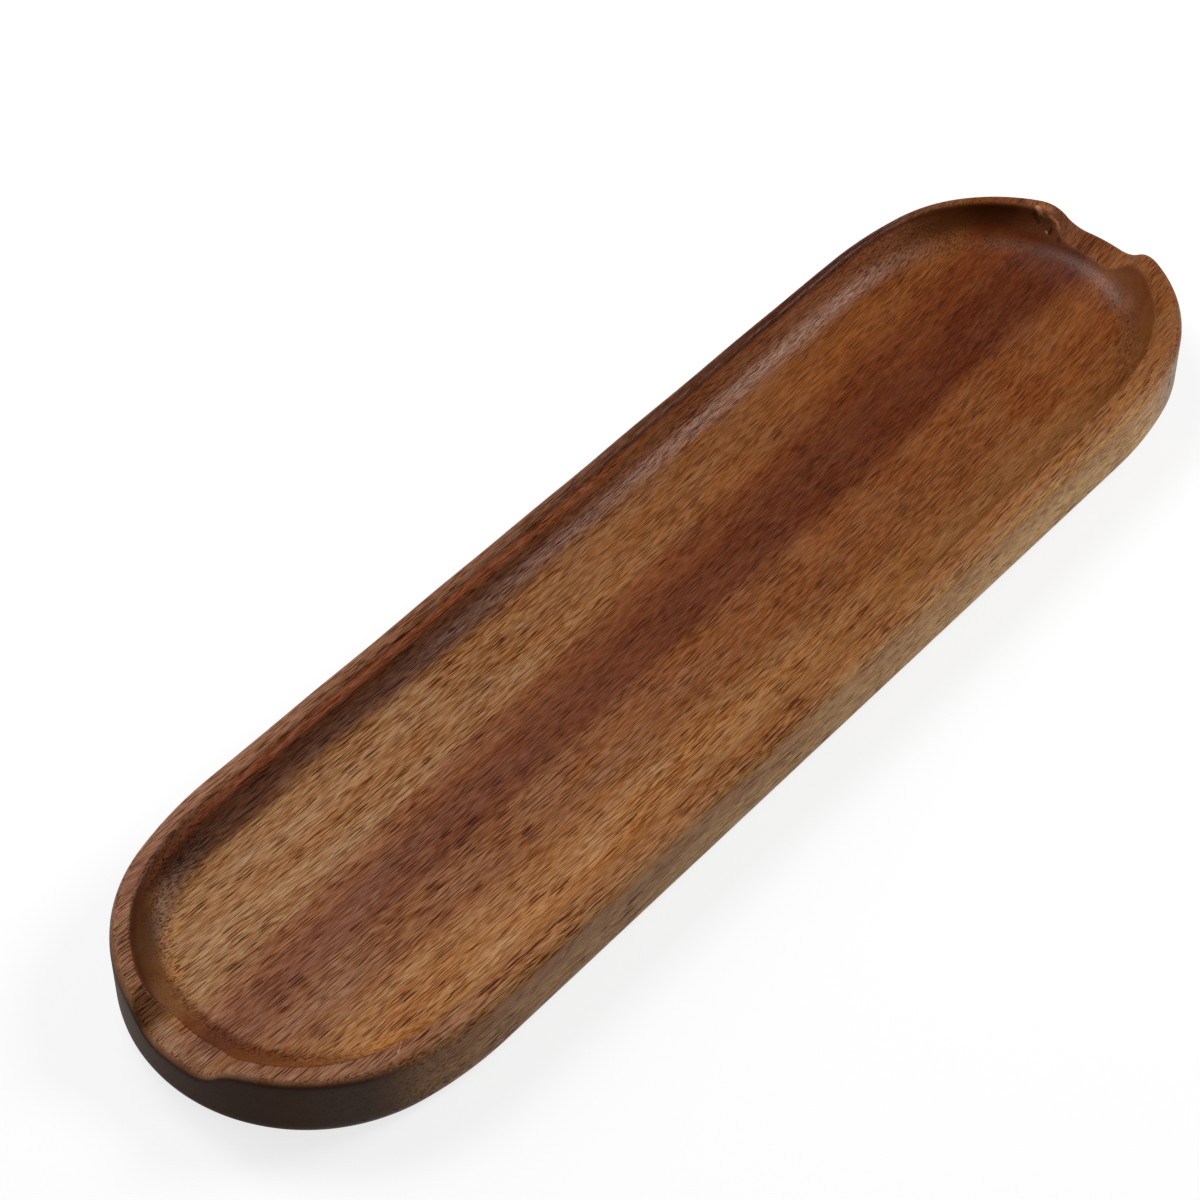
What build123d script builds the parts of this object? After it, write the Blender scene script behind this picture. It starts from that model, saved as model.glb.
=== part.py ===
from build123d import *
from math import atan2, degrees, sqrt
import os

# A pen tray routed out of one solid wooden board: a long board with oval ends, a dished recess for
# the pens, and a shallow finger scoop across the rim at the middle of each end.
# Millimetres. X runs along the board, Z is up, and the origin is under its middle, on the underside.

# The board
length = 225.0
width = 60.0
height = 12.5

# The ends in plan are a nose arc between two shoulder arcs, which run into the straight sides
nose_tightening = 1.0    # the nose arc's radius is this much less than half the width
shoulder_easing = 33.0   # the shoulder arcs' radius is this much more than half the width

# The recess. It is routed by hand, so it sits a little off the middle and a little askew
rim_width = 3.4
recess_depth = 5.5
cove_radius = 7.0        # the hollow between the recess's floor and the rim
recess_shift = 0.9       # towards the +Y side
recess_turn = 0.4        # degrees, as seen from above

# The finger scoops across the rim at both ends
scoop_width = 24.0       # at the top of the rim, where its sides start to fall
scoop_floor_width = 6.5
scoop_depth = 3.8

# Sanded edges
rim_outer_round = 1.4
rim_inner_round = 0.9
underside_round = 2.5

# How far a cutting shape stands clear of the board, and what counts as level or upright
cut_clearance = 5.0
tolerance = 0.001

half_width = width / 2
nose_radius = half_width - nose_tightening
shoulder_radius = half_width + shoulder_easing
nose_x = length / 2 - nose_radius
shoulder_run = sqrt((shoulder_radius - nose_radius) ** 2 - shoulder_easing ** 2)
shoulder_x = nose_x - shoulder_run
nose_angle = degrees(atan2(shoulder_easing, shoulder_run))
shoulder_angle = 90 - nose_angle

recess_floor = height - recess_depth
# The rim cuts the cove off below the point where its arc would stand upright
cove_reach = sqrt(cove_radius ** 2 - max(cove_radius - recess_depth, 0) ** 2)
recess_inset = rim_width - (cove_radius - cove_reach)
recess_plane = Plane((0, recess_shift, recess_floor)).rotated((0, 0, recess_turn))

scoop_floor = height - scoop_depth
scoop_half = scoop_width / 2
scoop_floor_half = scoop_floor_width / 2
# Each side of a scoop is two equal arcs, one rounding over and one hollow, that meet half way down
scoop_side_middle = ((scoop_half + scoop_floor_half) / 2, height - scoop_depth / 2)


def oval(inset):
    """The board's outline in plan, drawn the given distance inside its wall."""
    side = half_width - inset
    with BuildSketch() as outline:
        with BuildLine():
            Line((0, -side), (shoulder_x, -side))
            CenterArc((shoulder_x, shoulder_easing), shoulder_radius - inset, -90, shoulder_angle)
            CenterArc((nose_x, 0), nose_radius - inset, -nose_angle, 2 * nose_angle)
            CenterArc((shoulder_x, -shoulder_easing), shoulder_radius - inset, nose_angle, shoulder_angle)
            Line((shoulder_x, side), (0, side))
            mirror(about=Plane.YZ)
        make_face()
    return outline.sketch


# The shape that the router takes out: an oval pocket with a hollowed lower edge
recess_outline = oval(recess_inset)
with BuildPart() as recess:
    with BuildSketch(recess_plane):
        add(recess_outline)
    extrude(amount=recess_depth + cove_radius + cut_clearance)
    fillet(recess.faces().sort_by(Axis.Z)[0].edges(), cove_radius)

# The board, with both scoops in the profile that runs along it
board_outline = oval(0)
with BuildPart() as tray_board:
    with BuildSketch(Plane.YZ):
        with BuildLine():
            Polyline(
                (0, 0),
                (half_width + cut_clearance, 0),
                (half_width + cut_clearance, height),
                (scoop_half, height),
            )
            TangentArc((scoop_half, height), scoop_side_middle, tangent=(-1, 0))
            TangentArc((scoop_floor_half, scoop_floor), scoop_side_middle, tangent=(1, 0))
            Line((scoop_floor_half, scoop_floor), (0, scoop_floor))
            mirror(about=Plane.YZ)
        make_face()
    extrude(amount=length / 2 + cut_clearance, both=True)
    with BuildSketch():
        add(board_outline)
    extrude(amount=height + cut_clearance, mode=Mode.INTERSECT)

    walls = tray_board.faces().filter_by(lambda face: abs(face.normal_at().Z) < tolerance)
    wall_edges = walls.edges().filter_by(Axis.Z, reverse=True)
    fillet(wall_edges.filter_by(lambda edge: edge.center().Z > tolerance), rim_outer_round)
    fillet(tray_board.edges().group_by(Axis.Z)[0], underside_round)

    add(recess.part, mode=Mode.SUBTRACT)
    fillet(tray_board.edges(Select.NEW), rim_inner_round)

os.makedirs("parts", exist_ok=True)
tray_board.part.label = "tray_board"
export_step(tray_board.part, "parts/tray_board.step")
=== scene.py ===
# %% [markdown]
# # A carved wooden pen tray
# The tray is one hardwood board. A router takes out the long recess, two finger scoops are cut across the
# rim at the ends, and the whole is sanded and oiled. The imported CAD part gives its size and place. This
# lesson shapes the sanded wood as a fine mesh of quads, grows its grain from shader nodes and lights it
# softly.

import random

import bpy
import numpy as np
from math import atan, atan2, cos, degrees, pi, radians, sin, sqrt
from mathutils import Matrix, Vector


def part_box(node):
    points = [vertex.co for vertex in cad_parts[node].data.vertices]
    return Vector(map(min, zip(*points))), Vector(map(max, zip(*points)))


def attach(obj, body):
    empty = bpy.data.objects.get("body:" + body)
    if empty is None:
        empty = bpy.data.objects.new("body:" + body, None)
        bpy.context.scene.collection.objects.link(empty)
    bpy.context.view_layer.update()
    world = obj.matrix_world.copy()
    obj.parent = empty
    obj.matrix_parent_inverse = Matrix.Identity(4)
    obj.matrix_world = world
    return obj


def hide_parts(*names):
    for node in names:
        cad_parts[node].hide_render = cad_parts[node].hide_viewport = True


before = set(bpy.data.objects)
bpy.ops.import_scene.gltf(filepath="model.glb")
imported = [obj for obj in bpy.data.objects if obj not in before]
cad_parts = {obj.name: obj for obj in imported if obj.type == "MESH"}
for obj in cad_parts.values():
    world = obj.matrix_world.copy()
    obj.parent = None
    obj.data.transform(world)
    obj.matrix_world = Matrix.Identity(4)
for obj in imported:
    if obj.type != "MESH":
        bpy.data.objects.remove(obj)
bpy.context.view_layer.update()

MM = 0.001
board_low, board_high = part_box("tray_board")
length, width, height = (side / MM for side in board_high - board_low)
print(f"board: {length:.1f} x {width:.1f} x {height:.1f} mm")

# %% [markdown]
# ## The board's outline
# In plan each end is a nose arc between two shoulder arcs, which run into the straight sides. A spline
# could be traced round it, but arcs are what a template maker would draw. Every place on such an outline
# has a centre, a radius and an outward direction. With these three, a line parallel to the wall is the
# same list with a smaller radius, and that makes all the rings of the mesh below.

# %% Draw the outline as centres, radii and directions
NOSE_TIGHTENING = 1.0    # the nose arc's radius is this much less than half the width
SHOULDER_EASING = 33.0   # the shoulder arcs' radius is this much more than half the width
QUAD_SIZE = 0.7          # the mesh's step along the wall, all in millimetres

half_width = width / 2
nose_radius = half_width - NOSE_TIGHTENING
shoulder_radius = half_width + SHOULDER_EASING
nose_x = length / 2 - nose_radius
shoulder_run = sqrt((shoulder_radius - nose_radius) ** 2 - SHOULDER_EASING ** 2)
shoulder_x = nose_x - shoulder_run
nose_angle = atan2(SHOULDER_EASING, shoulder_run)


def steps(start, end, run):
    """The middles of equal steps from start to end, each about one quad long on a run of that length."""
    count = max(2, round(run / QUAD_SIZE))
    return [start + (end - start) * (k + 0.5) / count for k in range(count)]


quarter = []
for angle in steps(0, nose_angle, nose_radius * nose_angle):
    quarter.append((nose_x, 0.0, nose_radius, angle))
for angle in steps(nose_angle, pi / 2, shoulder_radius * (pi / 2 - nose_angle)):
    quarter.append((shoulder_x, -SHOULDER_EASING, shoulder_radius, angle))
for x in steps(shoulder_x, 0, shoulder_x):
    quarter.append((x, -SHOULDER_EASING, shoulder_radius, pi / 2))

upper = quarter + [(-x, y, radius, pi - angle) for x, y, radius, angle in reversed(quarter)]
lower = [(x, -y, radius, -angle) for x, y, radius, angle in reversed(upper)]
stations = np.array(upper + lower)
centres = stations[:, :2]
radii = stations[:, 2]
outward = np.stack((np.cos(stations[:, 3]), np.sin(stations[:, 3])), axis=1)
print(f"outline: {len(stations)} stations round the wall")


def parallel(inset):
    """The outline drawn the given distance inside the wall."""
    return centres + outward * (radii - inset)[:, None]


def depth_inside(points):
    """How far points in plan lie inside the wall."""
    x, y = np.abs(points).T
    in_nose = (x - nose_x) * SHOULDER_EASING > y * shoulder_run
    from_nose = nose_radius - np.hypot(x - nose_x, y)
    from_shoulder = shoulder_radius - np.hypot(x - shoulder_x, y + SHOULDER_EASING)
    from_end = np.where(in_nose, from_nose, from_shoulder)
    return np.where(x > shoulder_x, from_end, half_width - y)


# %% [markdown]
# ## Where the recess comes
# The router follows a template, which a hand lays on the board a little off the middle and a little
# askew. So the rim is wider in some places than in others. Sandpaper in a hand isn't even either. Noise
# on each vertex would look rough, so a few slow waves round the outline, with seeded random phases, vary
# the rim and its rounded edges by up to a quarter of a millimetre.

# %% Measure the rim and the recess at every station
RIM_WIDTH = 3.4
RECESS_DEPTH = 5.5
COVE_RADIUS = 7.0
RECESS_SHIFT = 0.9       # towards +Y
RECESS_TURN = radians(0.4)
RIM_OUTER_ROUND = 1.4
RIM_INNER_ROUND = 0.9

RIM_WAVER = 0.12
OUTER_WAVER = 0.22
INNER_WAVER = 0.18
TOP_WAVER = 0.06         # the sanded top dips by up to this much
WAVES_ROUND = (3, 5, 8, 13, 21)
HAND_SEED = 7

hand = random.Random(HAND_SEED)
turn_round = np.linspace(0, 2 * pi, len(stations), endpoint=False)


def hand_waves(size):
    """A slow random wave round the outline, between plus and minus its size."""
    wave = sum(np.sin(turn_round * count + hand.uniform(0, 2 * pi)) for count in WAVES_ROUND)
    return size * wave / np.abs(wave).max()


recess_floor = height - RECESS_DEPTH
cove_reach = sqrt(COVE_RADIUS ** 2 - max(COVE_RADIUS - RECESS_DEPTH, 0) ** 2)
recess_inset = RIM_WIDTH - (COVE_RADIUS - cove_reach)

unturned = np.array(((cos(RECESS_TURN), sin(RECESS_TURN)), (-sin(RECESS_TURN), cos(RECESS_TURN))))
wall_in_recess_frame = (parallel(0) - (0, RECESS_SHIFT)) @ unturned.T
recess_wall = recess_inset - depth_inside(wall_in_recess_frame) + hand_waves(RIM_WAVER)
outer_round = RIM_OUTER_ROUND + hand_waves(OUTER_WAVER)
inner_round = RIM_INNER_ROUND + hand_waves(INNER_WAVER)
top_dip = TOP_WAVER / 2 + hand_waves(TOP_WAVER / 2)
print(f"rim: {recess_wall.min():.1f} to {recess_wall.max():.1f} mm wide")
print(f"recess: floor {recess_floor:.1f} mm up")

# %% [markdown]
# ## The finger scoops
# At the middle of each end the rim dips, so that a fingertip can reach in. Each side of a scoop is two
# equal arcs, one that rounds over and one that is hollow. A boolean cut would do it, but leaves ragged
# triangles along the cut. Here a scoop is only a lower rim: a formula gives the height of the rim's top
# at every place across.

# %% Lower the rim at the scoops and roll its inner edge
SCOOP_WIDTH = 24.0
SCOOP_FLOOR_WIDTH = 6.5
SCOOP_DEPTH = 3.8
SETTLING_ROUNDS = 4

scoop_half = SCOOP_WIDTH / 2
scoop_floor_half = SCOOP_FLOOR_WIDTH / 2
scoop_run = (scoop_half - scoop_floor_half) / 2
scoop_drop = SCOOP_DEPTH / 2
scoop_arc = (scoop_run ** 2 + scoop_drop ** 2) / (2 * scoop_drop)


def rim_top(y):
    """The height of the rim's top, which each scoop lowers with a round-over and then a hollow."""
    y = np.abs(y)
    from_top = np.clip(scoop_half - y, 0, scoop_run)
    from_floor = np.clip(y - scoop_floor_half, 0, scoop_run)
    round_over = height - scoop_arc + np.sqrt(scoop_arc ** 2 - from_top ** 2)
    hollow = height - SCOOP_DEPTH + scoop_arc - np.sqrt(scoop_arc ** 2 - from_floor ** 2)
    return np.where(y > scoop_half - scoop_run, round_over, hollow) - top_dip


def across_at(inset):
    """Where across the board each station's line is, at that distance inside the wall."""
    return parallel(inset)[:, 1]


# The inner round rolls between the rim's top and the cove, so its centre is one radius from each
cove_centre = recess_wall + COVE_RADIUS
round_centre = recess_wall.copy()
for settling in range(SETTLING_ROUNDS):
    inner_top = rim_top(across_at(round_centre))
    rise = recess_floor + COVE_RADIUS - (inner_top - inner_round)
    round_centre = cove_centre - np.sqrt((COVE_RADIUS + inner_round) ** 2 - rise ** 2)
contact_angle = np.arcsin(rise / (COVE_RADIUS + inner_round))
print(f"rim top: {inner_top.min():.1f} mm up in the scoops, {inner_top.max():.1f} mm elsewhere")

# %% [markdown]
# ## The sanded board
# A modifier could bevel the CAD mesh, but its long triangles shade badly where light skims the cove. Here
# the skin is made of rings, like the contour lines of a map: from the middle of the underside out, up the
# wall, over the rim, down the cove and in across the floor. A ring is a distance inside the wall and a
# height, both given at every station.

# %% List the rings from the underside to the recess floor
UNDERSIDE_ROUND = 2.5
UNDERSIDE_STEPS = 7
WALL_STEPS = 9
ROUND_STEPS = 7
RIM_STEPS = 5
COVE_STEPS = 18
FLOOR_STEPS = 5
INNERMOST = 24.0

level = np.zeros(len(stations))
rings = []
for inset in np.linspace(INNERMOST, UNDERSIDE_ROUND, UNDERSIDE_STEPS):
    rings.append((level + inset, level))
for angle in np.linspace(0, pi / 2, ROUND_STEPS + 1)[1:]:
    rings.append((level + UNDERSIDE_ROUND * (1 - sin(angle)), level + UNDERSIDE_ROUND * (1 - cos(angle))))

wall_top = rim_top(across_at(level)) - outer_round
for share in np.linspace(0, 1, WALL_STEPS + 1)[1:]:
    rings.append((level, UNDERSIDE_ROUND + (wall_top - UNDERSIDE_ROUND) * share))
for angle in np.linspace(0, pi / 2, ROUND_STEPS + 1)[1:]:
    inset = outer_round * (1 - cos(angle))
    rings.append((inset, rim_top(across_at(inset)) - outer_round * (1 - sin(angle))))

for share in np.linspace(0, 1, RIM_STEPS + 1)[1:]:
    inset = outer_round + (round_centre - outer_round) * share
    rings.append((inset, rim_top(across_at(inset))))
for share in np.linspace(0, 1, ROUND_STEPS + 1)[1:]:
    angle = pi / 2 + (contact_angle - pi / 2) * share
    inset = round_centre + inner_round * np.cos(angle)
    rings.append((inset, inner_top - inner_round * (1 - np.sin(angle))))

for share in np.linspace(0, 1, COVE_STEPS + 1)[1:]:
    angle = contact_angle + (pi / 2 - contact_angle) * share
    inset = cove_centre - COVE_RADIUS * np.cos(angle)
    rings.append((inset, recess_floor + COVE_RADIUS * (1 - np.sin(angle))))
for share in np.linspace(0, 1, FLOOR_STEPS + 1)[1:]:
    rings.append((cove_centre + (INNERMOST - cove_centre) * share, level + recess_floor))
print(f"skin: {len(rings)} rings")

# %% [markdown]
# ## One closed skin
# Each ring has one point for each station, so neighbouring rings are joined by quads, and the first and
# the last ring are closed by quads that reach straight across the board. Bridging edge loops by hand
# would give the same faces, but a loop over numbered points is easier to repeat. The finished skin stands
# in for the CAD board.

# %% Join the rings
points = np.concatenate([np.column_stack((parallel(inset), rise)) for inset, rise in rings])
count = len(stations)
faces = []
for ring in range(len(rings) - 1):
    for k in range(count):
        following = (k + 1) % count
        faces.append((
            ring * count + k,
            ring * count + following,
            (ring + 1) * count + following,
            (ring + 1) * count + k,
        ))
last = (len(rings) - 1) * count
for k in range(count // 2 - 1):
    opposite = count - 1 - k
    faces.append((k, opposite, opposite - 1, k + 1))
    faces.append((last + k, last + k + 1, last + opposite - 1, last + opposite))

board_mesh = bpy.data.meshes.new("carved_board")
board_mesh.from_pydata([Vector(point) * MM for point in points.tolist()], [], faces)
board_mesh.validate()
board_mesh.shade_smooth()
board = bpy.data.objects.new("carved_board", board_mesh)
bpy.context.scene.collection.objects.link(board)
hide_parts("tray_board")
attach(board, "root")
print(f"carved_board: {len(board_mesh.vertices)} points, {len(board_mesh.polygons)} faces")

# %% [markdown]
# ## Tools for the wood's nodes
# The wood is a solid texture: its colour depends on the place inside the board, as in real timber, so the
# grain runs on over every edge. Nodes can be drawn by hand in the shader editor, but there are many. Five
# small helpers add them and join them, so that each later cell can say what the wood does.

# %% Start the wood material
wood = bpy.data.materials.new("oiled_hardwood")
wood.use_nodes = True
tree = wood.node_tree
tree.nodes.clear()


def node(kind, inputs, **settings):
    """Adds a shader node, sets its options, and fills or links the inputs that are named."""
    made = tree.nodes.new("ShaderNode" + kind)
    for name, value in settings.items():
        setattr(made, name, value)
    for name, value in inputs.items():
        if isinstance(value, bpy.types.NodeSocket):
            tree.links.new(value, made.inputs[name])
        else:
            made.inputs[name].default_value = value
    return made


def work_out(operation, *values):
    """One step of arithmetic on numbers or sockets."""
    return node("Math", dict(enumerate(values)), operation=operation).outputs[0]


def fade(value, start, end, low=0.0, high=1.0):
    """Goes smoothly from low to high while the value goes from start to end."""
    limits = {"Value": value, "From Min": start, "From Max": end, "To Min": low, "To Max": high}
    return node("MapRange", limits, interpolation_type="SMOOTHSTEP").outputs["Result"]


def stain(red, green, blue):
    """A screen colour, from 0 to 255 on the sRGB curve, as the light values that shaders use."""
    shown = [value / 255 for value in (red, green, blue)]
    return [v / 12.92 if v <= 0.04045 else ((v + 0.055) / 1.055) ** 2.4 for v in shown] + [1.0]


def tint(amount, under, over, how="MIX"):
    """Lays one colour over another, by an amount from 0 to 1."""
    # For colours, the Mix node takes its factor at input 0 and its colours at inputs 6 and 7
    return node("Mix", {0: amount, 6: under, 7: over}, data_type="RGBA", blend_type=how).outputs[2]


print(f"{wood.name}: an empty node tree")

# %% [markdown]
# ## The place in the board
# Texture coordinates in metres give awkward scales, so the place is turned into millimetres first. The
# fibres run nearly along the board at the near end and bend over to the left towards the far one. A
# rotated texture can't bend, so the grain coordinates undo the bend, and a texture read at them follows
# the fibres. Round a small knot in the far rim the fibres swing aside.

# %% Make the place and grain coordinates
FIBRE_LEAN = 0.0315
FIBRE_BEND = 0.00037
KNOT = (106.6, 8.0, 9.6)
KNOT_REACH = 6.0
KNOT_SWING = 2.5

metres = node("TexCoord", {}).outputs["Object"]
place = node("VectorMath", {0: metres, "Scale": 1 / MM}, operation="SCALE").outputs[0]
along, across, up = node("SeparateXYZ", {0: place}).outputs

bend = work_out("MULTIPLY", along, FIBRE_BEND)
lean = work_out("MULTIPLY", along, work_out("ADD", FIBRE_LEAN, bend))
from_knot = node("VectorMath", {0: place, 1: KNOT}, operation="DISTANCE").outputs["Value"]
swing = fade(from_knot, KNOT_REACH, 0.0, 0.0, KNOT_SWING)
fibre_across = work_out("ADD", work_out("SUBTRACT", across, lean), swing)
grain = node("CombineXYZ", {0: along, 1: fibre_across, 2: up}).outputs[0]

near_turn, far_turn = (degrees(atan(FIBRE_LEAN + 2 * FIBRE_BEND * x)) for x in (-length / 2, length / 2))
print(f"fibres: turned by {near_turn:.1f} degrees at the near end, {far_turn:.1f} at the far end")

# %% [markdown]
# ## Heartwood and growth bands
# A dark reddish streak of heartwood runs the length of the board between golden zones. It widens towards
# the far end, so the zones are read at the distance from its middle, in half widths of the streak. The
# far end was probably nearer the heart of the tree, and its tones are darker and redder, though on the
# right the golden zone reaches further along. Painting this on a flat picture would stretch it over the
# edges, so two colour ramps hold the tones of both ends, and the place along the board mixes them. A slow
# noise makes the bands wander, and a quick one feathers their edges.

# %% Lay out the streak and the golden zones
WANDER_SIZE = (75.0, 16.0, 16.0)
WANDER = 2.5
FEATHER_SIZE = (26.0, 1.3, 1.3)
FEATHER = 2.6
STREAK_MIDDLE = 4.5
STREAK_RISE = 0.046
STREAK_HALF = 7.3
STREAK_WIDENING = 0.027
RAMP_REACH = 3.5         # half widths of the streak from the ramp's middle to its ends

# Each tone as it is at the near end, and at the far end
GOLD = (160, 117, 78), (122, 70, 32)
HONEY = (160, 111, 68), (120, 76, 39)
BROWN = (137, 90, 58), (121, 69, 33)
RED_HEART = (143, 93, 60), (110, 58, 25)
DARK_HEART = (122, 74, 49), (98, 50, 25)
ZONES = (
    (-3.2, HONEY),
    (-2.2, BROWN),
    (-1.3, BROWN),
    (-0.9, DARK_HEART),
    (-0.15, DARK_HEART),
    (0.35, RED_HEART),
    (0.75, RED_HEART),
    (1.1, GOLD),
)


def sized(coordinates, size):
    """Coordinates in which a texture's features have this size along, across and up, in millimetres."""
    return node("VectorMath", {0: coordinates, 1: size}, operation="DIVIDE").outputs[0]


def noise(coordinates, detail=2.0):
    """Smooth random values about 0.5."""
    return node("TexNoise", {"Vector": coordinates, "Scale": 1.0, "Detail": detail}).outputs[0]


def sway(coordinates, reach, detail=2.0):
    """A noise that swings about zero, by about the given reach at most."""
    return work_out("MULTIPLY", work_out("SUBTRACT", noise(coordinates, detail), 0.5), 2 * reach)


wander = sway(sized(place, WANDER_SIZE), WANDER)
feather = sway(sized(grain, FEATHER_SIZE), FEATHER, detail=3.0)
band_across = work_out("ADD", across, work_out("ADD", wander, feather))
streak_middle = work_out("ADD", STREAK_MIDDLE, work_out("MULTIPLY", along, STREAK_RISE))
streak_half = work_out("ADD", STREAK_HALF, work_out("MULTIPLY", along, STREAK_WIDENING))
from_streak = work_out("DIVIDE", work_out("SUBTRACT", band_across, streak_middle), streak_half)
ramp_place = node("MapRange", {"Value": from_streak, "From Min": -RAMP_REACH, "From Max": RAMP_REACH})


def zone_ramp(end):
    """The zones across the streak, in the tones of the near end (0) or the far end (1)."""
    ramp = node("ValToRGB", {0: ramp_place.outputs["Result"]})
    stops = ramp.color_ramp.elements
    stops.remove(stops[-1])
    for number, (distance, tones) in enumerate(ZONES):
        position = (distance + RAMP_REACH) / (2 * RAMP_REACH)
        stop = stops[0] if number == 0 else stops.new(position)
        stop.position = position
        stop.color = stain(*tones[end])
    return ramp.outputs["Color"]


near_zones = zone_ramp(0)
far_zones = zone_ramp(1)
print(f"figure: {len(ZONES)} zones across the board")

# %% [markdown]
# ## From the near tones to the far ones
# The two ramps are mixed by the place along the board. More ramps could be mixed, but two are enough for
# an even change. A noise then warms some patches, and the streak is shaded towards the far end. From here
# on a span says where a change starts and where it ends, mostly in millimetres along, across or up the
# board, so that a fade can be read as a sentence.

# %% Mix the zones along the board
NEAR_TO_FAR = (-110.0, 90.0)
GOLDEN_REACH = 30.0      # how much further along the golden zone on the right keeps its near tones
GOLDEN_ACROSS = (-13.0, -20.0)
GOLDEN_ALONG = (35.0, 0.0)
WARMTH_SIZE = (16.0, 4.0, 4.0)
WARMTH_SPREAD = (0.35, 0.65)
WARM_TINT = (1.0, 0.88, 0.70, 1.0)
HEART_SHADE = (0.87, 0.78, 0.73, 1.0)
HEART_ALONG = (-95.0, -15.0)
STREAK_EDGES = (-1.2, -0.8), (1.2, 0.4)    # in half widths of the streak

golden_side = work_out("MULTIPLY", fade(across, *GOLDEN_ACROSS), fade(along, *GOLDEN_ALONG))
far_place = work_out("SUBTRACT", along, work_out("MULTIPLY", golden_side, GOLDEN_REACH))
figure = tint(fade(far_place, *NEAR_TO_FAR), near_zones, far_zones)
warmth = noise(sized(grain, WARMTH_SIZE), detail=3.0)
warmed = tint(fade(warmth, *WARMTH_SPREAD), figure, WARM_TINT, "MULTIPLY")
in_streak = work_out("MULTIPLY", fade(from_streak, *STREAK_EDGES[0]), fade(from_streak, *STREAK_EDGES[1]))
heart_share = work_out("MULTIPLY", in_streak, fade(along, *HEART_ALONG))
hearted = tint(heart_share, warmed, HEART_SHADE, "MULTIPLY")
print(f"figure: {len(tree.nodes)} nodes so far")

# %% [markdown]
# ## The left edge
# Other bands of the timber come to the surface only at the edges. A russet one runs down the left cove,
# and towards the near end it reaches further down the cove, where its dark is painted shade under the
# rim.
# The upper part of the wall above it is lighter, most of all in the near half: painted light, as if
# bounced inside the tray. The rim's top goes from rosy to very dark, and is brown again at the far
# corner. One ramp for all of it would be hard to follow, so each band is a tint of its own, laid where
# its spans overlap.

# %% Colour the left cove and the left rim
RUSSET = (98, 56, 34), (134, 80, 48)
RUSSET_ALONG = (-40.0, 30.0)
RUSSET_SHADE_START = (20.9, 22.4)    # where across the board the band starts, nearer and further along
RUSSET_START_ALONG = (-20.0, 40.0)
RUSSET_BLEND = 3.2
LEFT_ACROSS = (20.0, 24.0)
LEFT_WALL_BOUNCE_LIGHT = (182, 106, 70)
LEFT_WALL_UP = (9.8, 11.4)
LEFT_WALL_ALONG = (0.0, 25.0)
LEFT_WALL_SHARES = (0.85, 0.15)
LEFT_RIM = (146, 98, 68), (76, 35, 15), (114, 67, 37)
LEFT_RIM_UP = (11.3, 12.3)
LEFT_RIM_ALONG = (-100.0, 70.0), (82.0, 98.0)

russet_tone = tint(fade(along, *RUSSET_ALONG), stain(*RUSSET[0]), stain(*RUSSET[1]))
# Towards the near end the russet starts further down the cove; there it is painted shade under the rim,
# over the wood's own russet band
russet_shade_start = fade(along, *RUSSET_START_ALONG, *RUSSET_SHADE_START)
past_start = work_out("SUBTRACT", work_out("ADD", across, feather), russet_shade_start)
russet_and_shade_side = tint(fade(past_start, 0.0, RUSSET_BLEND), hearted, russet_tone)
on_left = fade(across, *LEFT_ACROSS)
# Painted light: the upper left wall is made lighter, as if lit by light bounced inside the tray
left_bounce_share = work_out("MULTIPLY", fade(up, *LEFT_WALL_UP), fade(along, *LEFT_WALL_ALONG, *LEFT_WALL_SHARES))
left_wall_bounce_lit = tint(work_out("MULTIPLY", left_bounce_share, on_left), russet_and_shade_side, stain(*LEFT_WALL_BOUNCE_LIGHT))
left_darkening = tint(fade(along, *LEFT_RIM_ALONG[0]), stain(*LEFT_RIM[0]), stain(*LEFT_RIM[1]))
left_rim_tone = tint(fade(along, *LEFT_RIM_ALONG[1]), left_darkening, stain(*LEFT_RIM[2]))
left_rim = tint(work_out("MULTIPLY", fade(up, *LEFT_RIM_UP), on_left), left_wall_bounce_lit, left_rim_tone)
print(f"left edge: {len(tree.nodes)} nodes so far")

# %% [markdown]
# ## The other rims
# The top layer of the board is golden on the right, rosy at the near end and brown at the far one, so the
# rim differs there from the floor. Vertex colours could paint it, but would follow the mesh and not the
# wood. Heights decide here how much of the layer shows.

# %% Colour the right rim and both ends
RIGHT_RIM = (154, 103, 65), (133, 80, 44)
RIGHT_RIM_UP = (10.5, 12.0)
RIGHT_RIM_SHARE = 0.7
RIGHT_RIM_ACROSS = (-21.0, -25.0)
RIGHT_RIM_ALONG = (-80.0, -20.0)
ROSE = (133, 86, 61)
ROSE_UP = (9.5, 11.8)
ROSE_ALONG = (-65.0, -95.0)
ROSE_SHARE = 0.75
ROSE_SCOOP = (146, 102, 73)
ROSE_SCOOP_ALONG = (-107.0, -109.5)
ROSE_SCOOP_SHARE = 0.8
FAR_RIM = (126, 76, 42)
FAR_RIM_UP = (8.0, 9.0)
FAR_RIM_ALONG = (103.0, 107.0)
FAR_RIM_SHARE = 0.6

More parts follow.
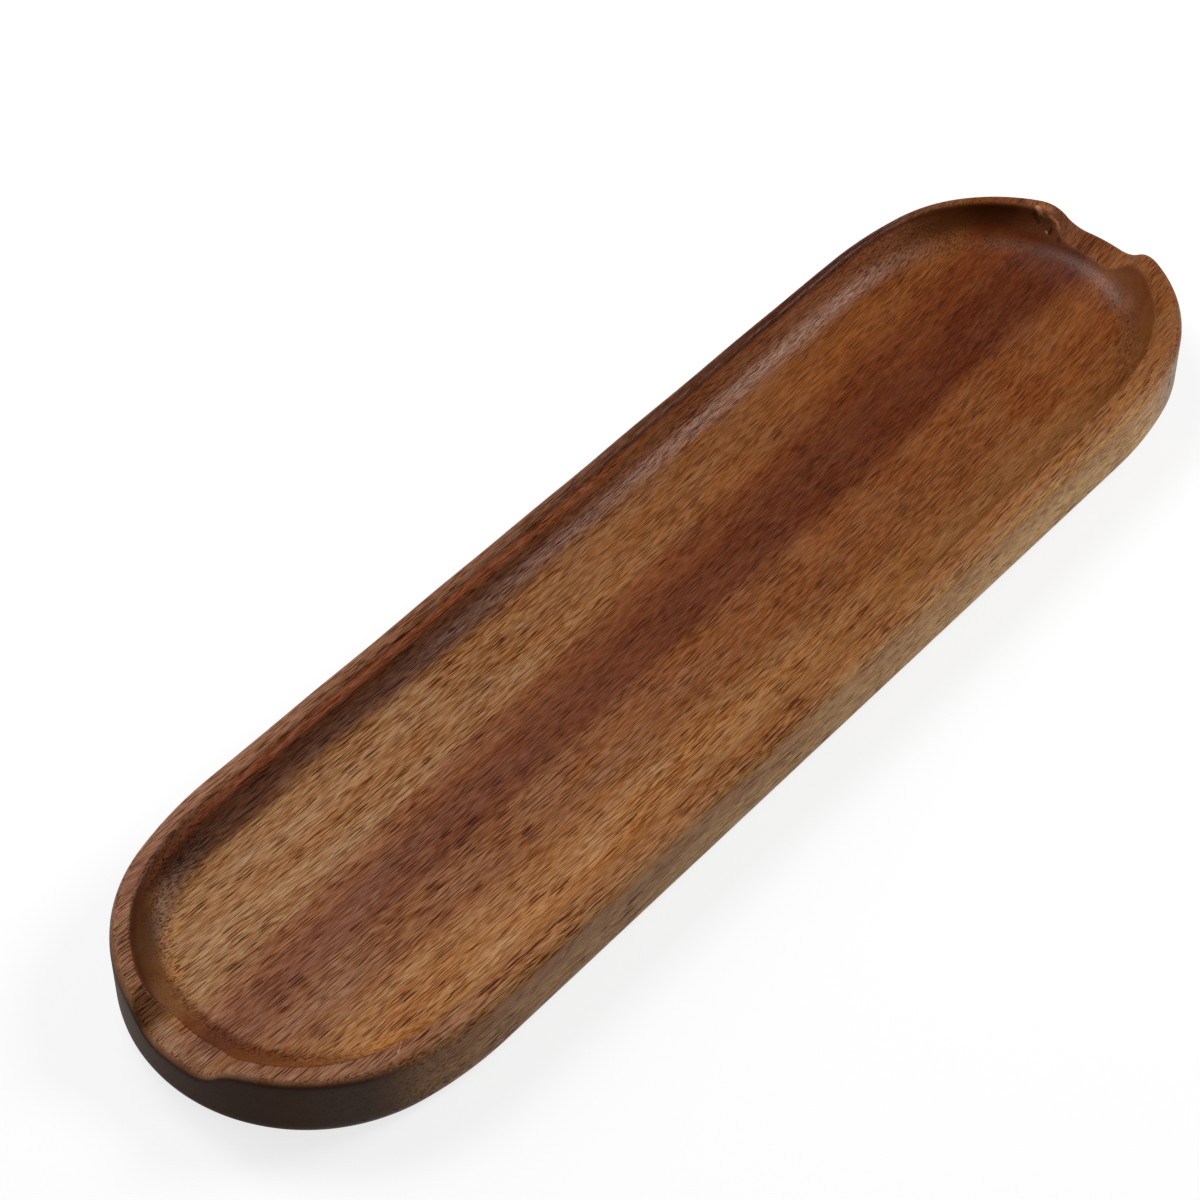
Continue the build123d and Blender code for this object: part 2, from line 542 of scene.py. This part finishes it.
right_layer = fade(up, *RIGHT_RIM_UP, 0.0, RIGHT_RIM_SHARE)
right_top = work_out("MULTIPLY", right_layer, fade(across, *RIGHT_RIM_ACROSS))
right_rim_tone = tint(fade(along, *RIGHT_RIM_ALONG), stain(*RIGHT_RIM[0]), stain(*RIGHT_RIM[1]))
right_rim = tint(right_top, left_rim, right_rim_tone)
near_top = work_out("MULTIPLY", fade(up, *ROSE_UP), fade(along, *ROSE_ALONG, 0.0, ROSE_SHARE))
rosy_rim = tint(near_top, right_rim, stain(*ROSE))
rosy_scoop = tint(fade(along, *ROSE_SCOOP_ALONG, 0.0, ROSE_SCOOP_SHARE), rosy_rim, stain(*ROSE_SCOOP))
far_top = work_out("MULTIPLY", fade(up, *FAR_RIM_UP), fade(along, *FAR_RIM_ALONG, 0.0, FAR_RIM_SHARE))
far_rim = tint(far_top, rosy_scoop, stain(*FAR_RIM))
print(f"rims: {len(tree.nodes)} nodes so far")

# %% [markdown]
# ## The right wall
# Pale sapwood, the youngest wood of the tree, shows in the right wall, and more of it towards the far
# end. The wall is darker under the rim and lighter towards the bottom: painted shade, as if the white
# floor lit the lower wall. A second material would end in a hard line, so both are tints that fade.

# %% Colour the right wall
SAPWOOD = (226, 172, 106)
SAPWOOD_ACROSS = (-24.0, -28.0)
SAPWOOD_UP = (12.45, 11.5)
SAPWOOD_ON_RIM = 0.1
SAPWOOD_ALONG = (-85.0, 45.0)
SAPWOOD_AT_NEAR_END = 0.26
SAPWOOD_END = (98.0, 80.0)
WALL_SHADE = (0.86, 0.76, 0.67, 1.0)
WALL_SHADE_UP = (5.0, 9.5), (12.2, 11.2)

on_right = fade(across, *SAPWOOD_ACROSS)
sapwood_side = work_out("MULTIPLY", on_right, fade(up, *SAPWOOD_UP, SAPWOOD_ON_RIM, 1.0))
sapwood_growth = fade(along, *SAPWOOD_ALONG, SAPWOOD_AT_NEAR_END, 1.0)
sapwood_reach = work_out("MULTIPLY", sapwood_growth, fade(along, *SAPWOOD_END))
sapwood_share = work_out("MULTIPLY", sapwood_side, sapwood_reach)
sapwood = tint(sapwood_share, far_rim, stain(*SAPWOOD))
# Painted shade: the right wall is darkened under the rim, so that it is lighter towards the bottom
under_rim = work_out("MULTIPLY", fade(up, *WALL_SHADE_UP[0]), fade(up, *WALL_SHADE_UP[1]))
wall_shaded = tint(work_out("MULTIPLY", under_rim, on_right), sapwood, WALL_SHADE, "MULTIPLY")
print(f"right wall: {len(tree.nodes)} nodes so far")

# %% [markdown]
# ## Growth lines and mottle
# Within a zone the colour still changes from line to line. One noise with much detail would look like
# clouds, so two noises of different shapes do this: long lines a couple of millimetres wide, and soft
# blotches. Light wood is paler as well as brighter, so blue changes most. Fine detail is fainter in the
# streak, in the sapwood and at the far end, and fainter still where the surface cuts across the fibres.

# %% Add lines and mottle
EVENNESS = 0.25
EVEN_STREAK_ALONG = (-90.0, 0.0)
EVEN_ALONG = (-40.0, 50.0)
CUT_ACROSS = (0.2, 0.55)       # how far the surface faces along the board
CUT_LIVELINESS = 0.3
LINE_SIZE = (70.0, 2.0, 2.0)
LINE_LIGHT = 0.13
MOTTLE_SIZE = (14.0, 5.0, 5.0)
MOTTLE_LIGHT = 0.13
SPREAD = (0.25, 0.75)          # between these values lies nearly all of a noise
PALER = (0.7, 1.14, 1.9)

even_streak = work_out("MULTIPLY", in_streak, fade(along, *EVEN_STREAK_ALONG))
even_places = work_out("MAXIMUM", even_streak, fade(along, *EVEN_ALONG))
even_all = work_out("MAXIMUM", even_places, sapwood_share)
even_share = work_out("SUBTRACT", 1.0, work_out("MULTIPLY", even_all, EVENNESS))
facing = node("NewGeometry", {}).outputs["Normal"]
facing_along, facing_across, facing_up = node("SeparateXYZ", {0: facing}).outputs
end_facing = work_out("ABSOLUTE", facing_along)
cut_across = fade(end_facing, *CUT_ACROSS)
liveliness = work_out("MULTIPLY", even_share, fade(cut_across, 0.0, 1.0, 1.0, CUT_LIVELINESS))


def brightened(colour, share):
    """Makes a colour paler by a share, or deeper where the share is below zero."""
    factor = node("VectorMath", {0: share, 1: PALER, 2: (1, 1, 1)}, operation="MULTIPLY_ADD").outputs[0]
    return node("VectorMath", {0: colour, 1: factor}, operation="MULTIPLY").outputs[0]


growth_lines = noise(sized(grain, LINE_SIZE), detail=3.0)
mottle = noise(sized(grain, MOTTLE_SIZE))
lined = brightened(wall_shaded, fade(growth_lines, *SPREAD, -LINE_LIGHT, LINE_LIGHT))
mottled = brightened(lined, fade(mottle, *SPREAD, -MOTTLE_LIGHT, MOTTLE_LIGHT))
print(f"lines: {LINE_SIZE[1]:.0f} mm wide, blotches: {MOTTLE_SIZE[0]:.0f} mm long")

# %% [markdown]
# ## Fibres and pores
# This timber has large pores, which the plane has cut open lengthwise: dark dashes a few millimetres long
# and a quarter of a millimetre wide. An image texture would show them but would repeat. Here the valleys
# of a noise that is stretched along the grain are the pores. A shorter noise gives the pale and dark
# fibres between them, and a coarser one adds hairs. A slight wobble keeps the dashes from running like
# ruled lines.

# %% Cut open the pores
FIBRE_SIZE = (1.9, 0.15, 0.15)
FIBRE_SPREAD = (0.26, 0.74)
FIBRE_LIGHT = 0.41
PORE_SIZE = (4.2, 0.2, 0.2)
PORE_EDGE = (0.405, 0.335)
PORE_TINT = (0.3, 0.17, 0.07, 1.0)
PORE_MOTTLE = (0.35, 0.65)
PORE_SHARES = (1.1, 0.75)
HAIR_SIZE = (7.0, 0.5, 0.5)
HAIR_LIGHT = 0.13
WOBBLE_SIZE = (3.0, 1.5, 1.5)
WOBBLE = 0.15

wobbly_across = work_out("ADD", fibre_across, sway(sized(grain, WOBBLE_SIZE), WOBBLE))
wobbly_grain = node("CombineXYZ", {0: along, 1: wobbly_across, 2: up}).outputs[0]
fibres = noise(sized(wobbly_grain, FIBRE_SIZE), detail=0.0)
hairs = noise(sized(wobbly_grain, HAIR_SIZE), detail=3.0)
pores = fade(noise(sized(wobbly_grain, PORE_SIZE), detail=0.0), *PORE_EDGE)

pore_share = work_out("MULTIPLY", liveliness, fade(mottle, *PORE_MOTTLE, *PORE_SHARES))
fibre_light = fade(fibres, *FIBRE_SPREAD, -FIBRE_LIGHT, FIBRE_LIGHT)
hair_light = fade(hairs, *SPREAD, -HAIR_LIGHT, HAIR_LIGHT)
hairy = brightened(mottled, work_out("MULTIPLY", work_out("ADD", fibre_light, hair_light), pore_share))
pored = tint(work_out("MULTIPLY", pores, pore_share), hairy, PORE_TINT, "MULTIPLY")
print(f"pores: {PORE_SIZE[0]} mm long, {len(tree.nodes)} nodes so far")

# %% [markdown]
# ## Painted shade in the hollows
# The hollow at the near end and both left corners of the recess are darkened with painted shade: the
# inner wall of the near-left corner, and the far-left corner below the rim, where the rim's shadow falls.
# A separate material would leave a hard border, so the slope of the surface decides how much.

# %% Paint shade into the hollows
NEAR_HOLLOW_SHADE_TINT = (0.52, 0.43, 0.36, 1.0)
HOLLOW_SLOPE = (0.02, 0.22)
HOLLOW_ALONG = (-91.0, -98.0)
LATER_SLOPE = 0.2              # on the left the dark starts on a steeper slope
LATER_ACROSS = (5.0, 13.0)
LEFT_CORNER_SHADE_TINT = (0.53, 0.47, 0.4, 1.0)
NEAR_LEFT_SLOPE = (-0.12, -0.45)
NEAR_LEFT_ALONG = (-70.0, -90.0)
NEAR_LEFT_ACROSS = (0.0, 8.0)
FAR_LEFT_SLOPE = (0.92, 0.65)
FAR_LEFT_ALONG = (84.0, 96.0)
FAR_LEFT_ACROSS = (6.0, 20.0)
INSIDE = (0.05, 0.4)           # how far the surface faces up

end_slope = work_out("SUBTRACT", facing_along, fade(across, *LATER_ACROSS, 0.0, LATER_SLOPE))
# Painted shade in the hollow at the near end
near_hollow_shade = work_out("MULTIPLY", fade(end_slope, *HOLLOW_SLOPE), fade(along, *HOLLOW_ALONG))
near_corner = work_out("MULTIPLY", fade(along, *NEAR_LEFT_ALONG), fade(across, *NEAR_LEFT_ACROSS))
# Painted shade on the inner wall of the near-left corner
near_left_shade = work_out("MULTIPLY", fade(facing_across, *NEAR_LEFT_SLOPE), near_corner)
far_corner = work_out("MULTIPLY", fade(along, *FAR_LEFT_ALONG), fade(across, *FAR_LEFT_ACROSS))
# Painted shadow under the rim in the far-left corner
far_left_shadow = work_out("MULTIPLY", fade(facing_up, *FAR_LEFT_SLOPE), far_corner)
left_corner_shade = work_out("MAXIMUM", near_left_shade, far_left_shadow)
inside = fade(facing_up, *INSIDE)
near_hollow_shaded = tint(work_out("MULTIPLY", near_hollow_shade, inside), pored, NEAR_HOLLOW_SHADE_TINT, "MULTIPLY")
corner_shaded = tint(work_out("MULTIPLY", left_corner_shade, inside), near_hollow_shaded, LEFT_CORNER_SHADE_TINT, "MULTIPLY")
print(f"hollows: {len(tree.nodes)} nodes so far")

# %% [markdown]
# ## The near wall
# The upright wall at the near end is all end grain, and painted shade darkens it further, to the darkest
# surface on the tray. A tint would still show the bands behind it, so this wall has tones of its own, a
# little darker towards the rim: painted light from the floor makes its lower part lighter. How far the
# surface faces along the board and up tells the wall from the rim above it.

# %% Paint shade on the near wall
NEAR_WALL_SHADED_TONES = (64, 45, 35), (54, 36, 27)
NEAR_WALL_UP = (4.0, 9.0)
NEAR_WALL_FACING = (-0.1, -0.6)    # how far the surface faces along the board
NEAR_WALL_STEEP = (0.75, 0.3)      # how far it faces up
NEAR_WALL_ALONG = (-75.0, -95.0)
NEAR_WALL_SHARE = 0.85

# Painted shade on the near wall, over its end grain, lighter towards the bottom as painted floor light
upright = work_out("MULTIPLY", fade(facing_along, *NEAR_WALL_FACING), fade(facing_up, *NEAR_WALL_STEEP))
near_wall_shade = work_out("MULTIPLY", upright, fade(along, *NEAR_WALL_ALONG, 0.0, NEAR_WALL_SHARE))
near_wall_shaded_tone = tint(fade(up, *NEAR_WALL_UP), stain(*NEAR_WALL_SHADED_TONES[0]), stain(*NEAR_WALL_SHADED_TONES[1]))
end_wall_shaded = tint(near_wall_shade, corner_shaded, near_wall_shaded_tone)
print(f"near wall: {len(tree.nodes)} nodes so far")

# %% [markdown]
# ## Marks
# Two small marks tell this tray from others: a pale scratch across the near rim, and the knot at the far
# scoop with its dark heart and the pale fibres that curl round it. They are too small for a mesh of their
# own. A stroke is the space round a line between two places, and a noise shakes the places a little, so
# that no stroke is even.

# %% Draw the knot and the scratch
PALE_MARK = (186, 136, 98)
TAN_MARK = (160, 106, 64)
DARK_MARK = (50, 22, 13)
SHAKE_SIZE = (0.9, 0.9, 0.9)
SHAKE = (0.9, 0.9, 0.9)
STROKE_CORE = 0.3              # the share of a stroke's half width that has its full strength
MARKS = (
    # from, to, half width, strength, colour
    ((107.0, 7.8, 9.8), (106.6, 7.6, 9.3), 0.5, 0.8, DARK_MARK),
    ((106.6, 5.8, 8.8), (106.4, 5.7, 8.8), 0.55, 0.7, DARK_MARK),
    ((106.7, 11.4, 11.4), (106.4, 10.2, 10.3), 0.6, 0.6, DARK_MARK),
    ((108.5, 10.6, 12.3), (108.8, 9.4, 12.1), 1.0, 0.45, TAN_MARK),
    ((107.3, 9.8, 11.3), (107.8, 8.7, 11.4), 0.42, 0.5, TAN_MARK),
    ((107.8, 8.7, 11.4), (108.3, 7.5, 10.5), 0.42, 0.5, TAN_MARK),
    ((108.3, 7.5, 10.5), (107.9, 6.8, 9.8), 0.42, 0.5, TAN_MARK),
    ((107.5, 11.2, 12.3), (107.2, 10.3, 11.7), 0.6, 0.85, PALE_MARK),
    ((106.3, 8.2, 9.1), (106.3, 8.0, 9.2), 0.36, 0.75, PALE_MARK),
    ((-92.9, -25.5, 12.5), (-90.9, -24.3, 12.2), 0.26, 0.85, PALE_MARK),
)

shake = node("TexNoise", {"Vector": sized(place, SHAKE_SIZE), "Scale": 1.0}).outputs["Color"]
shaken = node("VectorMath", {0: shake, 1: (0.5, 0.5, 0.5)}, operation="SUBTRACT").outputs[0]
uneven = node("VectorMath", {0: shaken, 1: SHAKE, 2: place}, operation="MULTIPLY_ADD").outputs[0]


def stroke(start, end, reach):
    """One along the line between two places, and zero beyond a distance from it."""
    run = Vector(end) - Vector(start)
    offset = node("VectorMath", {0: uneven, 1: start}, operation="SUBTRACT").outputs[0]
    progress = node("VectorMath", {0: offset, 1: run}, operation="DOT_PRODUCT").outputs["Value"]
    held = node("Clamp", {0: work_out("DIVIDE", progress, run.length_squared)}).outputs[0]
    nearest = node("VectorMath", {0: run, "Scale": held}, operation="SCALE").outputs[0]
    away = node("VectorMath", {0: offset, 1: nearest}, operation="DISTANCE").outputs["Value"]
    return fade(away, reach, reach * STROKE_CORE)


marked = end_wall_shaded
for start, end, reach, strength, colour in MARKS:
    share = work_out("MULTIPLY", stroke(start, end, reach), strength)
    marked = tint(share, marked, stain(*colour))
print(f"marks: {len(MARKS)} strokes")

# %% [markdown]
# ## Relief and satin
# The pores and fibres are also real relief, a few hundredths of a millimetre deep. That is too fine for
# the mesh and comes from a bump node. Oil leaves a satin skin, with soft highlights that break up over
# the pores. End grain stays duller, and so does the far rim, as if worn by hands.

# %% Shape the relief and the sheen
RELIEF = 0.06 * MM
RELIEF_STRENGTH = 0.7
HAIR_RELIEF = 0.5
CUT_RELIEF = 0.25
SATIN = (0.31, 0.39)
SATIN_HAIRS = (0.3, 0.7)
PORE_DULLNESS = 0.2
END_DULLNESS = 0.6
END_DULL_FACING = (0.5, 0.9)
WORN_DULLNESS = 0.65
WORN_UP = (8.4, 8.9)
WORN_ALONG = (102.0, 105.0)

grooves = work_out("SUBTRACT", work_out("ADD", fibres, work_out("MULTIPLY", hairs, HAIR_RELIEF)), pores)
relief_height = work_out("MULTIPLY", grooves, fade(cut_across, 0.0, 1.0, 1.0, CUT_RELIEF))
relief = node("Bump", {"Height": relief_height, "Distance": RELIEF, "Strength": RELIEF_STRENGTH})
satin = work_out("ADD", fade(hairs, *SATIN_HAIRS, *SATIN), work_out("MULTIPLY", pores, PORE_DULLNESS))
end_dullness = fade(end_facing, *END_DULL_FACING, SATIN[0], END_DULLNESS)
worn = work_out("MULTIPLY", fade(up, *WORN_UP), fade(along, *WORN_ALONG))
worn_dullness = fade(worn, 0.0, 1.0, SATIN[0], WORN_DULLNESS)
roughness = work_out("MAXIMUM", work_out("MAXIMUM", satin, end_dullness), worn_dullness)
print(f"relief: {RELIEF / MM:.2f} mm")

# %% [markdown]
# ## The oil film
# Oil gathers before it dries: as a smooth film in the hollow at the far end, and along the left cove,
# where the fibres break it. More gloss all over would make the whole board look varnished, so the film is
# the shader's coat, with a weight that is zero elsewhere. Under the left film the wood is tinted warmer,
# so that the film's sheen reads warm: a painted tint of the sheen.

# %% Lay the film and finish the wood
FAR_FILM = 0.45
FAR_FILM_SLOPE = (0.82, 0.96)
FAR_FILM_UP = (8.65, 8.25)
FAR_FILM_ALONG = (95.0, 103.0)
FAR_FILM_ACROSS = (-13.0, -8.0)
LEFT_FILM = 0.5
LEFT_FILM_FIBRES = (0.42, 0.62)
LEFT_FILM_SLOPE = (-0.22, -0.42)
LEFT_FILM_UP = (9.4, 8.5)
LEFT_FILM_ALONG = (-60.0, 0.0), (90.0, 65.0)
LEFT_FILM_ACROSS = (12.0, 18.0)
SHEEN_WARMING_TINT = (1.0, 0.9, 0.62, 1.0)
FULL_SHEEN_WARMING = 0.3            # the film that has the whole tint under it
FILM_ROUGHNESS = 0.46
WOOD_IOR = 1.45
WOOD_SHINE = 0.12

low_slope = work_out("MULTIPLY", fade(facing_up, *FAR_FILM_SLOPE), fade(up, *FAR_FILM_UP))
far_end = fade(along, *FAR_FILM_ALONG, 0.0, FAR_FILM)
far_hollow = work_out("MULTIPLY", far_end, fade(across, *FAR_FILM_ACROSS))
left_slope = work_out("MULTIPLY", fade(facing_across, *LEFT_FILM_SLOPE), fade(up, *LEFT_FILM_UP))
left_side = work_out("MULTIPLY", fade(along, *LEFT_FILM_ALONG[0]), fade(along, *LEFT_FILM_ALONG[1]))
on_fibres = fade(fibres, *LEFT_FILM_FIBRES, 0.0, LEFT_FILM)
broken = work_out("MULTIPLY", on_fibres, fade(across, *LEFT_FILM_ACROSS))
left_film = work_out("MULTIPLY", work_out("MULTIPLY", left_slope, left_side), broken)
film = work_out("MAXIMUM", work_out("MULTIPLY", low_slope, far_hollow), left_film)
finish = node("BsdfPrincipled", {
    # Painted sheen colour: the wood under the left film is tinted warmer, so the film's sheen reads warm
    "Base Color": tint(fade(left_film, 0.0, FULL_SHEEN_WARMING), marked, SHEEN_WARMING_TINT, "MULTIPLY"),
    "Roughness": roughness,
    "Normal": relief.outputs["Normal"],
    "IOR": WOOD_IOR,
    "Specular IOR Level": WOOD_SHINE,
    "Coat Weight": film,
    "Coat Roughness": FILM_ROUGHNESS,
})
node("OutputMaterial", {"Surface": finish.outputs["BSDF"]})
board.data.materials.append(wood)
print(f"{wood.name}: {len(tree.nodes)} nodes")

# %% [markdown]
# ## The floor
# The tray stands on a plain white floor. Stronger lamps would whiten any floor, but bleach the wood as
# well. So the floor glows to the camera and in reflections, and reads as white paper, while its own grey
# takes the tray's soft shadow.

# %% Lay the floor
FLOOR_REACH = 4.0
FLOOR_DROP = 0.2 * MM
FLOOR_GREY = 0.24
FLOOR_GLOW = 0.78
CORNERS = ((-1, -1), (1, -1), (1, 1), (-1, 1))

floor_mesh = bpy.data.meshes.new("floor")
floor_mesh.from_pydata([(x, y, -FLOOR_DROP) for x, y in CORNERS], [], [(0, 1, 2, 3)])
floor = bpy.data.objects.new("floor", floor_mesh)
floor.scale = (FLOOR_REACH, FLOOR_REACH, 1)
bpy.context.scene.collection.objects.link(floor)

paper = bpy.data.materials.new("white_paper")
paper.use_nodes = True
tree = paper.node_tree
tree.nodes.clear()
rays = node("LightPath", {}).outputs
mirrored = work_out("MAXIMUM", rays["Is Glossy Ray"], rays["Is Transmission Ray"])
seen = work_out("MAXIMUM", rays["Is Camera Ray"], mirrored)
glow = node("Emission", {"Color": (1, 1, 1, 1), "Strength": work_out("MULTIPLY", seen, FLOOR_GLOW)})
matt = node("BsdfDiffuse", {"Color": (FLOOR_GREY, FLOOR_GREY, FLOOR_GREY, 1)})
both = node("AddShader", {0: matt.outputs[0], 1: glow.outputs[0]})
node("OutputMaterial", {"Surface": both.outputs[0]})
floor.data.materials.append(paper)
print(f"floor: {2 * FLOOR_REACH:.0f} m of white paper under the tray")

# %% [markdown]
# ## Soft studio light
# Three softboxes hang round the tray. The large one on the left leaves the left side's inner wall in
# shade. A smaller one, higher up on the same side, makes the far hollow shine. The third hangs to the
# right of the far end, lights the right wall and shows as a sheen along the left cove. A sun lamp would
# draw hard shadows, which this tray doesn't have. A dim, even world fills the rest. Together they light a
# level surface so that its colour renders about as it is written.

# %% Hang the softboxes
SOFTBOXES = (
    # name, direction from the tray, distance, size, power
    ("left_softbox", (-0.16, 0.78, 0.60), 0.8, 0.65, 2.7),
    ("top_softbox", (0.13, 0.55, 0.82), 0.8, 0.35, 2.3),
    ("right_softbox", (0.70, -0.34, 0.63), 0.8, 0.35, 4.0),
)
WORLD_GREY = 0.1

for name, direction, distance, size, power in SOFTBOXES:
    lamp = bpy.data.lights.new(name, "AREA")
    lamp.shape = "DISK"
    lamp.size = size
    lamp.energy = power
    softbox = bpy.data.objects.new(name, lamp)
    softbox.location = Vector(direction).normalized() * distance
    softbox.rotation_euler = Vector(direction).to_track_quat("Z", "Y").to_euler()
    bpy.context.scene.collection.objects.link(softbox)

world = bpy.data.worlds.new("studio")
world.use_nodes = True
world.node_tree.nodes["Background"].inputs["Color"].default_value = (1, 1, 1, 1)
world.node_tree.nodes["Background"].inputs["Strength"].default_value = WORLD_GREY
bpy.context.scene.world = world
bpy.context.scene.view_settings.view_transform = "Standard"
print(f"light: {len(SOFTBOXES)} softboxes and a world of {WORLD_GREY}")

# %% [markdown]
# ## The camera
# The tray is seen slantwise from its near end, from above and from some distance, so the camera has a
# long lens. The direction, the aim and the lens were found by fitting the board's outline to the one in
# the photograph. A camera placed by eye would come close, but the rim's thin lines show every degree.

# %% Aim the camera
VIEW_AZIMUTH = radians(-49.315)
VIEW_ELEVATION = radians(47.764)
VIEW_DISTANCE = 569.287 * MM
VIEW_AIM = Vector((-5.763, 12.594, 6.0)) * MM
VIEW_LENS = 109.08
SENSOR = 36
NEAREST = 0.01

towards_camera = Vector((
    sin(VIEW_AZIMUTH) * cos(VIEW_ELEVATION),
    -cos(VIEW_AZIMUTH) * cos(VIEW_ELEVATION),
    sin(VIEW_ELEVATION),
))
camera = bpy.data.objects.new("camera", bpy.data.cameras.new("camera"))
camera.data.sensor_width = SENSOR
camera.data.lens = VIEW_LENS
camera.data.clip_start = NEAREST
camera.location = VIEW_AIM + towards_camera * VIEW_DISTANCE
camera.rotation_euler = towards_camera.to_track_quat("Z", "Y").to_euler()
bpy.context.scene.collection.objects.link(camera)
bpy.context.scene.camera = camera
print(f"camera: {VIEW_LENS:.0f} mm lens, {VIEW_DISTANCE:.2f} m away")
